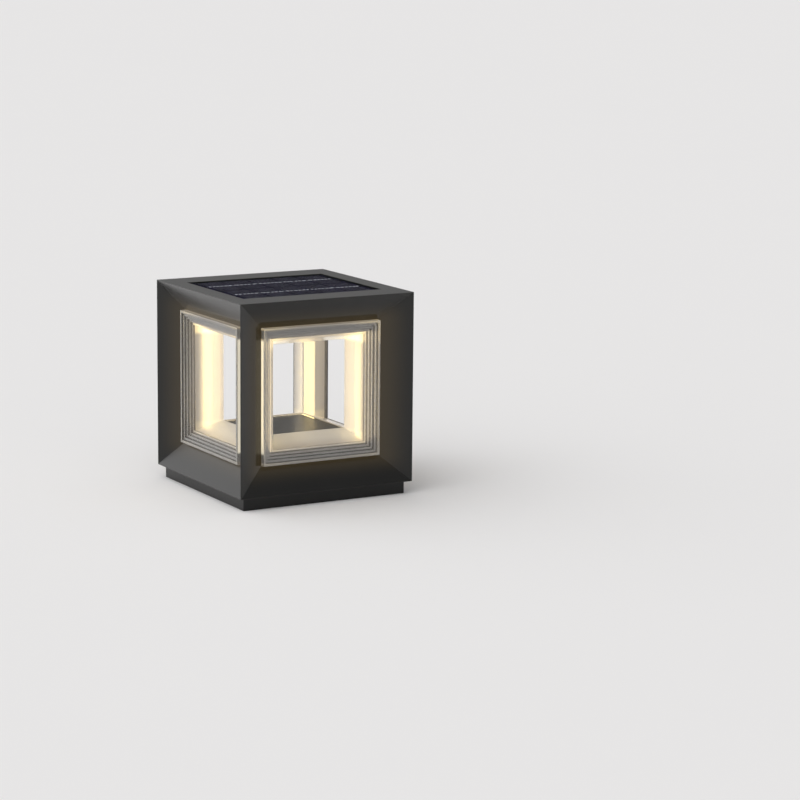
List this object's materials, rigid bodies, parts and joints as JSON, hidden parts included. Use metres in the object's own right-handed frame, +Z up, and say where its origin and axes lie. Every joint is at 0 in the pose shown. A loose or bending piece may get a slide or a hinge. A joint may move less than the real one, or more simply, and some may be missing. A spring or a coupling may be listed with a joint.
{
  "type": "solar cube pillar light",
  "caption": "Cube-shaped solar light for a pillar top, with bevelled open windows, clear stepped lenses, glowing corner tubes and a solar panel in the roof.",
  "frame": {"origin": "middle of the underside, on the surface that the light stands on", "axes": "+Z up, -Y out of the front window, +X to the right seen from the front"},
  "size_m": [0.2, 0.2, 0.2135],
  "materials": {
    "anthracite_coat": "fine satin powder coat on cast aluminium",
    "clear_acrylic": "clear polished acrylic with stepped front",
    "dark_plate": "dark satin moulding",
    "opal_tube": "frosted, lit warm white from inside",
    "socket_plastic": "white moulding",
    "white_board": "white coated circuit board",
    "light_chip": "yellow phosphor, lit",
    "panel_glass": "clear tempered glass",
    "solar_cell": "dark blue silicon with fine silver lines",
    "tinned_ribbon": "tinned copper",
    "panel_sheet": "dark navy sheet",
    "black_rubber": "matt",
    "plated_steel": "zinc plated",
    "battery_wrap": "blue shrink sleeve",
    "black_plastic": "moulded",
    "circuit_board": "green solder mask",
    "white_plastic": "moulded",
    "button_grey": "fine grain",
    "lead_sheath": "insulated twin lead"
  },
  "bodies": {
    "lamp": {"roof_frame": "anthracite_coat", "base_frame": "anthracite_coat", "plinth_skirt": "anthracite_coat", "post_front_left": "anthracite_coat", "post_front_right": "anthracite_coat", "post_rear_left": "anthracite_coat", "post_rear_right": "anthracite_coat", "lens_front": "clear_acrylic", "lens_rear": "clear_acrylic", "lens_left": "clear_acrylic", "lens_right": "clear_acrylic", "ceiling_plate": "dark_plate", "floor_plate": "dark_plate", "light_tube_front_left": "opal_tube", "light_tube_front_right": "opal_tube", "light_tube_rear_left": "opal_tube", "light_tube_rear_right": "opal_tube", "upper_tube_sockets": "socket_plastic", "lower_tube_sockets": "socket_plastic", "led_board_front_left": "white_board", "led_board_front_right": "white_board", "led_board_rear_left": "white_board", "led_board_rear_right": "white_board", "led_chips": "light_chip", "solar_glass": "panel_glass", "solar_cells": "solar_cell", "cell_ribbons": "tinned_ribbon", "panel_backsheet": "panel_sheet", "panel_gasket": "black_rubber", "switch_seal": "black_rubber", "mounting_plate": "plated_steel", "tie_bolts": "plated_steel", "ceiling_screws": "plated_steel", "floor_screws": "plated_steel", "plinth_screws": "plated_steel", "board_screws": "plated_steel", "switch_nut": "plated_steel", "battery_cell": "battery_wrap", "battery_holder": "black_plastic", "board_components": "black_plastic", "switch_body": "black_plastic", "controller_board": "circuit_board", "board_connectors": "white_plastic", "led_leads": "lead_sheath", "panel_lead": "lead_sheath", "battery_lead": "lead_sheath", "switch_lead": "lead_sheath"},
    "button": {"power_button": "button_grey"}
  },
  "joints": [
    {"name": "power_button_press", "type": "slide", "parent": "lamp", "child": "button", "axis": [0, 0, 1], "range_m": [0, 0.0018], "stiffness_N_per_m": 800, "springref_m": -0.001}
  ]
}
